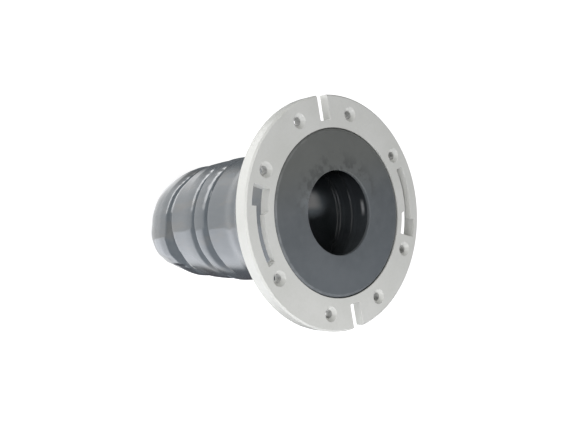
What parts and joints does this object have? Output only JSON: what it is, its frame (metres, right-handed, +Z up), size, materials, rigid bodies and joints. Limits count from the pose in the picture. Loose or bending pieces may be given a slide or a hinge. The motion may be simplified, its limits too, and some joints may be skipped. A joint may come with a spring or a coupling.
{
  "type": "flexible toilet connector",
  "caption": "Floor ring with screw holes and closet bolt slots, holding a soft barbed sleeve that leads a floor-standing toilet's outlet into the drain pipe.",
  "frame": {"origin": "centre of the sleeve's open lower end, which the part stands on", "axes": "+Z up along the bore axis, from the spigot to the ring; +Y through a rim notch; the closet bolt slots lie about +X and -X"},
  "size_m": [0.178, 0.1776, 0.205],
  "materials": {
    "ring_plastic": "light warm grey moulded rigid plastic with a fine satin surface",
    "sleeve_pvc": "mid grey soft PVC, glossy outside the tube and satin on the disc"
  },
  "bodies": {
    "root": {"fixing_ring": "ring_plastic", "flexible_sleeve": "sleeve_pvc"}
  },
  "joints": []
}
